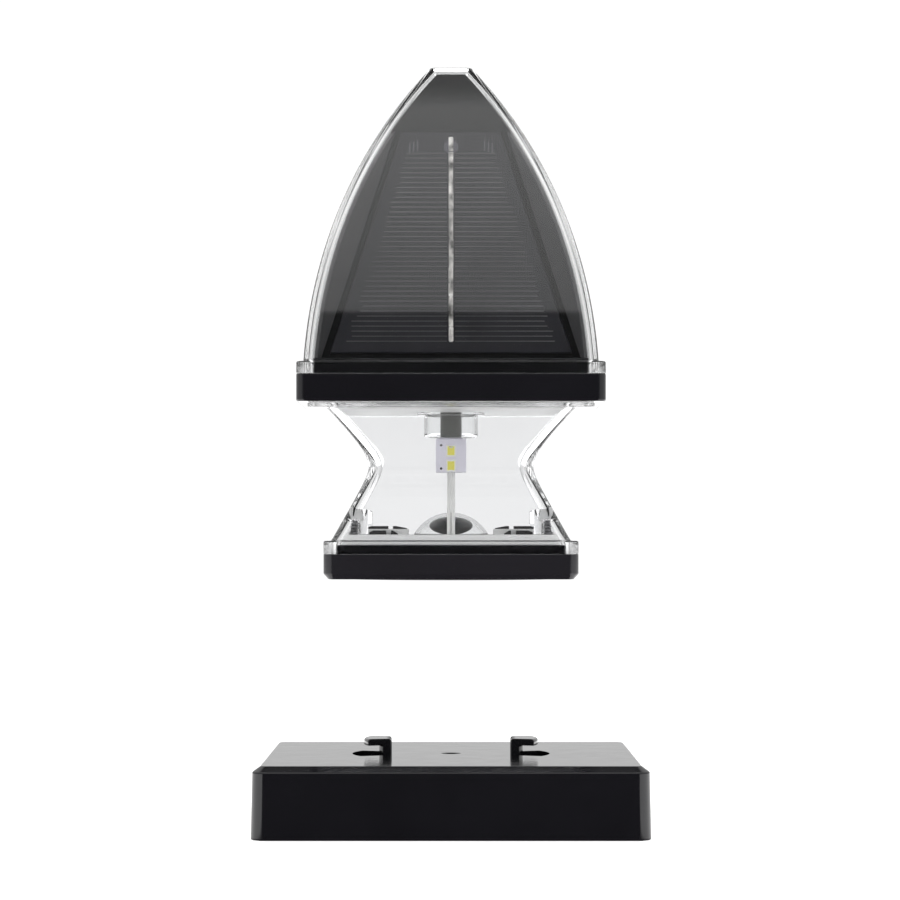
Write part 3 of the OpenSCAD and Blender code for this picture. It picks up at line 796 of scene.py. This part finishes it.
def build_collar():
    """The black collar, open at the top, with a hole for the LED wires."""
    half, step, room, room_floor, hole_r = COLLAR_W, 38.75, 35.75, 52.4, 3.4
    path = [
        (half - 3, COLLAR_Z, 0),
        (half, COLLAR_Z, 0.6),
        (half, RIM_Z, 0.35),
        (step, RIM_Z, 0.1),
        (step, CARRIER_Z, 0.3),
        (room, CARRIER_Z, 0.2),
        (room, room_floor, 0.5),
        (room - 2, room_floor, 0),
    ]
    body = to_object(square_body(soften(path), follow(half, 3.2, 1.0)), "collar")
    carve(body, turned_body([(0, 45), (hole_r, 45), (hole_r, 56), (0, 56)]))
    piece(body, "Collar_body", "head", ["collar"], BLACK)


def build_dome():
    """The clear four-sided ogive, with a flange at its foot and a small flat top."""
    half, flange_corner, outer_corner, inner_corner = COLLAR_W, 3.2, 3.4, 1.4
    outer = [(ogive_half(z, 0), z, 0) for z in steps(DOME_TOP - 0.9, SHELL_Z + 0.8, 60)]
    inner = [(ogive_half(z, CLEAR_WALL), z, 0) for z in steps(RIM_Z, DOME_TOP - CLEAR_WALL, 60)]
    top = [(ogive_half(DOME_TOP, 0) - 2.0, DOME_TOP, 0), (ogive_half(DOME_TOP, 0), DOME_TOP, 0.7)]
    foot = [
        (ogive_half(SHELL_Z, 0), SHELL_Z, 0.5),
        (half, SHELL_Z, 0.6),
        (half, RIM_Z, 0.3),
    ]

    def corner(h, z):
        if h > ogive_half(SHELL_Z, 0) + 0.5:
            return flange_corner
        outside = h > ogive_half(min(z, DOME_TOP), 1.0)
        return (outer_corner if outside else inner_corner) * (0.55 + 0.45 * h / half)

    path = soften(top + outer + foot + inner)
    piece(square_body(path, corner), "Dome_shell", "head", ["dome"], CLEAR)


def on_face(k):
    """The matrix that puts a piece on carrier face k: x to the right, y up the face, z out of it."""
    turn = Matrix.Rotation(math.pi / 2 * k, 4, "Z")
    foot = Matrix.Translation((0, -CARRIER_HALF, CARRIER_Z))
    return turn @ foot @ Matrix.Rotation(math.pi / 2 - FACE_TILT, 4, "X")


def face_half(y):
    """Half width of a carrier face, a way y up it."""
    return CARRIER_HALF - y * math.sin(FACE_TILT)


def panel_outline(grow):
    """A panel's outline on its face, or the outline of the pocket that holds it, grow wider."""
    low, high = 1.5 - grow, FACE_LEN - 1 + grow
    lower, upper = face_half(low) - PANEL_SIDE + grow, face_half(high) - PANEL_SIDE + grow
    return [(-lower, low), (lower, low), (upper, high), (-upper, high)]


def build_carrier():
    """The black carrier with a pocket for each cell, and the fins at its four corners."""

    def side(z):
        return CARRIER_HALF - (z - CARRIER_Z) * math.tan(FACE_TILT)

    path = [(side(CARRIER_Z) - 1, CARRIER_Z), (side(CARRIER_Z), CARRIER_Z + 0.05)]
    path += [(side(CROWN_Z), CROWN_Z)]
    path += [(ogive_half(z, CARRIER_INSET), z) for z in steps(CROWN_Z + 0.3, DOME_TOP - 2.5, 20)]
    body = to_object(square_body(path, lambda h, z: 0.9), "carrier")
    pocket, pocket_t, pocket_z = panel_outline(0.1), 2.9, -0.7
    for k in range(4):
        carve(body, prism(pocket, on_face(k) @ Matrix.Translation((0, 0, pocket_z)), pocket_t))
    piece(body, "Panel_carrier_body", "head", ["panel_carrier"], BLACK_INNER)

    fins = []
    root2, fin_t = math.sqrt(2), 1.6
    heights = steps(CARRIER_Z, CROWN_Z + 2, 30)
    outline = [((ogive_half(z, CARRIER_INSET) - 0.6) * root2, z) for z in heights]
    outline += [((min(side(z), 36) - 1.5) * root2, z) for z in heights[::-1]]
    for turn in (45, 135, 225, 315):
        upright = Matrix.Rotation(math.radians(turn), 4, "Z") @ Matrix.Rotation(math.pi / 2, 4, "X")
        fins.append(edge_bevel(prism(outline, upright, fin_t), 0.25))
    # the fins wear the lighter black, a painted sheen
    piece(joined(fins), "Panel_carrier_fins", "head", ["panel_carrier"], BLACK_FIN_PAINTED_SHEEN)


def build_panels():
    """The four cells, each with a silver bus bar in uneven runs, its pads and the fine fingers."""
    proud, thick = 0.4, 1.8
    bar_low, bar_high, bar_w, count = 4.7, 66.9, 1.45, 14
    length = (bar_high - bar_low) / count
    finger_w, finger_gap, finger_start, finger_margin = 0.16, 1.5, 1.1, 3.0
    pad_r, tick_x, tick_gap, tick_w, tick_h = 2.1, 9.6, 1.1, 0.35, 3.0
    names = ("front", "right", "back", "left")
    bars, pads, fingers = [], [], []
    for k, name in enumerate(names):
        place = on_face(k)
        plate = prism(panel_outline(0), Matrix.Translation((0, 0, proud - thick / 2)), thick)
        plate = moved(edge_bevel(plate, 0.2), place)
        node_name = f"solar_panel_{name}"
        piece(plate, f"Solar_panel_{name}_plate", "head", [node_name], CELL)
        for i in range(count):
            width = bar_w * random.uniform(0.86, 1.0)
            run = length * random.uniform(0.9, 1.0)
            at = (random.uniform(-0.05, 0.05), bar_low + (i + 0.5) * length, proud + 0.07)
            bars.append(moved(edge_bevel(block((width, run, 0.16), at), 0.05, 2), place))
        core = block((0.9, bar_high - bar_low, 0.1), (0, (bar_low + bar_high) / 2, proud + 0.05))
        bars.append(moved(core, place))
        pad_at = Matrix.Translation((0, bar_high - 3, proud))
        pad = moved(turned_body([(pad_r, 0), (pad_r, 0.06), (pad_r - 0.2, 0.1)]), pad_at)
        pads.append(moved(pad, place))
        for side in (-1, 1):
            for i in range(3):
                at = (side * (tick_x + tick_gap * i), bar_high - 2.6 - 0.4 * i, proud + 0.04)
                pads.append(moved(block((tick_w, tick_h, 0.08), at), place))
        y = bar_low + 0.2
        while y < bar_high - 4:
            reach = face_half(y) - PANEL_SIDE - finger_margin
            for side in (-1, 1):
                end = reach * random.uniform(0.93, 1.0)
                at = (side * (finger_start + end) / 2, y, proud + 0.02)
                fingers.append(moved(block((end - finger_start, finger_w, 0.05), at), place))
            y += finger_gap
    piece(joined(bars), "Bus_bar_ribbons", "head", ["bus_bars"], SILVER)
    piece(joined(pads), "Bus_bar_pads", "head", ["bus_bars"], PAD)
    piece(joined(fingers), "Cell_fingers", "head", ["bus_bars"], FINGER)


# ---------------------------------------------------------------- kept CAD nodes


def dress_nodes():
    """The CAD nodes that keep their shape get their materials."""
    for names, material in (
        (("seal_ring", "base_gasket", "dome_seal", "switch_button"), RUBBER),
        (("led_core",), BOARD_WHITE),
        (("led_wires",), WIRE_RED),
        (("control_board",), GREEN),
        (("board_components",), COMPONENT),
        (("battery",), WRAP),
        (("battery_holder",), BLACK_INNER),
        (("battery_contacts",), CONTACT),
        (("carrier_screws",), STEEL),
    ):
        for name in names:
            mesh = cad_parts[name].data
            mesh.materials.clear()
            mesh.materials.append(material)


# ---------------------------------------------------------------- studio


MATT_FILL = 0.5  # how much brighter the studio is for matt surfaces than it looks
BOX_EDGE = 0.38  # how high the softbox's lower edge stands, as the sine of its elevation


def build_camera():
    """Level camera in front, with a long lens, its height a little above the post cap."""
    distance, eye = 0.950, 64.5
    data = bpy.data.cameras.new("Camera")
    data.sensor_width, data.lens = 36.0, 130.024
    data.shift_x, data.shift_y = -0.0011111, 0.0917778
    data.clip_start, data.clip_end = 0.05, 50
    camera = bpy.data.objects.new("Camera", data)
    bpy.context.scene.collection.objects.link(camera)
    camera.location = (0, -distance, (CAP_H + eye) * MM)
    camera.rotation_euler = (math.pi / 2, 0, 0)
    bpy.context.scene.camera = camera


def band(nodes, links, source, low, high):
    """A mask that rises smoothly from 0 at low to 1 at high."""
    made = node(nodes, "ShaderNodeMapRange", interpolation_type="SMOOTHSTEP")
    made.inputs["From Min"].default_value = low
    made.inputs["From Max"].default_value = high
    links.new(source, made.inputs["Value"])
    return made.outputs["Result"]


def dimmed(nodes, links, where, share):
    """1, less that share of the light where the mask is 1."""
    return math_node(nodes, links, "SUBTRACT", 1.0, math_node(nodes, links, "MULTIPLY", where, share))


def plain_rays(nodes, links):
    """Two masks of rays: those that see the studio plainly, and those of them since a matt surface.

    The first come from the camera, straight or through clear plastic without a mirroring, or from
    a matt surface.
    """
    path = node(nodes, "ShaderNodeLightPath")
    matt = math_node(nodes, links, "MINIMUM", path.outputs["Diffuse Depth"], 1.0)
    through = math_node(nodes, links, "MINIMUM", path.outputs["Transmission Depth"], 1.0)
    mirrored = math_node(nodes, links, "MINIMUM", path.outputs["Glossy Depth"], 1.0)
    straight = math_node(nodes, links, "SUBTRACT", through, mirrored)
    straight = math_node(nodes, links, "MAXIMUM", path.outputs["Is Camera Ray"], straight)
    return math_node(nodes, links, "MAXIMUM", straight, matt), matt


def build_world():
    """A white studio, even where it is seen plainly.

    Its reflections are dark in front, below the overhead softbox's edge, and dimmer at the zenith
    and high up behind. Bands are parts of a ray's direction, along one axis.
    """
    front_band, back_band, high_band, zenith_band = (0.42, 0.80), (0.12, 0.3), (0.75, 0.88), (0.968, 1.0)
    front_share, zenith_share, ceiling_share = 0.97, 0.62, 0.85
    edge_soft, box_top, box_low_light, box_top_light = 0.012, 0.9, 0.73, 1.2
    plain_light = 1.05
    world = bpy.data.worlds.new("Studio")
    bpy.context.scene.world = world
    world.use_nodes = True
    nodes, links = world.node_tree.nodes, world.node_tree.links
    where = node(nodes, "ShaderNodeTexCoord")
    split = node(nodes, "ShaderNodeSeparateXYZ")
    links.new(where.outputs["Generated"], split.inputs[0])
    ahead = math_node(nodes, links, "MULTIPLY", split.outputs["Y"], -1.0)
    in_front = band(nodes, links, ahead, *front_band)
    up = split.outputs["Z"]
    box_edge = band(nodes, links, up, BOX_EDGE - edge_soft, BOX_EDGE + edge_soft)
    below_box = math_node(nodes, links, "SUBTRACT", 1.0, box_edge)
    dark = math_node(nodes, links, "MULTIPLY", in_front, below_box)
    shown = dimmed(nodes, links, dark, front_share)
    overhead = ramp_of(nodes, links, up, box_low_light, box_top_light, BOX_EDGE, box_top)
    level = math_node(nodes, links, "MULTIPLY", shown, overhead)
    zenith = band(nodes, links, up, *zenith_band)
    level = math_node(nodes, links, "MULTIPLY", level, dimmed(nodes, links, zenith, zenith_share))
    behind = band(nodes, links, split.outputs["Y"], *back_band)
    high = band(nodes, links, up, *high_band)
    ceiling = math_node(nodes, links, "MULTIPLY", behind, high)
    level = math_node(nodes, links, "MULTIPLY", level, dimmed(nodes, links, ceiling, ceiling_share))
    plain, matt = plain_rays(nodes, links)
    mix = node(nodes, "ShaderNodeMix", data_type="FLOAT")
    links.new(plain, mix.inputs[0])
    links.new(level, mix.inputs[2])
    fill = math_node(nodes, links, "MULTIPLY", matt, MATT_FILL)
    links.new(math_node(nodes, links, "ADD", fill, plain_light), mix.inputs[3])
    links.new(mix.outputs[0], nodes["Background"].inputs["Strength"])
    nodes["Background"].inputs["Color"].default_value = (1, 1, 1, 1)


def build_ground():
    """A pale floor that takes a faint contact shadow.

    Under the cap it is painted dark, a painted shade, and in reflections it is painted dark in front,
    from near_from metres on.
    """
    glow_light, dim_light = 0.72, 0.02
    near_from, near_full, side_from, side_slope = 0.03, 0.055, 0.05, 1.2
    cap_inset = 2.5
    bpy.ops.mesh.primitive_circle_add(vertices=96, radius=4, fill_type="NGON", location=(0, 0, -0.0002))
    ground = bpy.context.object
    ground.name = "Studio_floor"
    mat, nodes, links, bsdf = new_material("Studio_floor")
    bsdf.inputs["Base Color"].default_value = (0.85, 0.85, 0.85, 1)
    bsdf.inputs["Roughness"].default_value = 0.9
    bsdf.inputs["Specular IOR Level"].default_value = 0.0
    glow = node(nodes, "ShaderNodeEmission")
    glow.inputs["Strength"].default_value = glow_light
    shade = node(nodes, "ShaderNodeMixShader")
    add = node(nodes, "ShaderNodeAddShader")
    links.new(bsdf.outputs[0], add.inputs[0])
    links.new(glow.outputs[0], add.inputs[1])
    dim = node(nodes, "ShaderNodeEmission")
    dim.inputs["Strength"].default_value = dim_light
    where = node(nodes, "ShaderNodeNewGeometry")
    split = node(nodes, "ShaderNodeSeparateXYZ")
    links.new(where.outputs["Position"], split.inputs[0])
    ahead = math_node(nodes, links, "MULTIPLY", split.outputs["Y"], -1.0)
    aside = math_node(nodes, links, "ABSOLUTE", split.outputs["X"])
    beyond = math_node(nodes, links, "SUBTRACT", aside, side_from)
    beyond = math_node(nodes, links, "MAXIMUM", beyond, 0.0)
    later = math_node(nodes, links, "MULTIPLY", beyond, side_slope)
    ahead = math_node(nodes, links, "SUBTRACT", ahead, later)
    near = band(nodes, links, ahead, near_from, near_full)
    reflected = math_node(nodes, links, "SUBTRACT", 1.0, plain_rays(nodes, links)[0])
    dimmer = math_node(nodes, links, "MULTIPLY", near, reflected)
    depth = math_node(nodes, links, "ABSOLUTE", split.outputs["Y"])
    furthest = math_node(nodes, links, "MAXIMUM", aside, depth)
    # painted shade: the floor under the cap is set dark for all rays
    painted_shade_under_cap = math_node(nodes, links, "LESS_THAN", furthest, (CAP_W - cap_inset) * MM)
    links.new(math_node(nodes, links, "MAXIMUM", dimmer, painted_shade_under_cap), shade.inputs[0])
    links.new(add.outputs[0], shade.inputs[1])
    links.new(dim.outputs[0], shade.inputs[2])
    links.new(shade.outputs[0], nodes["Material Output"].inputs["Surface"])
    ground.data.materials.append(mat)


build_camera()
build_cap()
build_base()
build_floor()
build_ceiling()
build_switch()
build_waist()
build_light()
build_collar()
build_dome()
build_carrier()
build_panels()
dress_nodes()
build_world()
build_ground()
bpy.context.scene.view_settings.view_transform = "Standard"
cycles = bpy.context.scene.cycles
cycles.max_bounces, cycles.glossy_bounces, cycles.transmission_bounces = 32, 16, 32
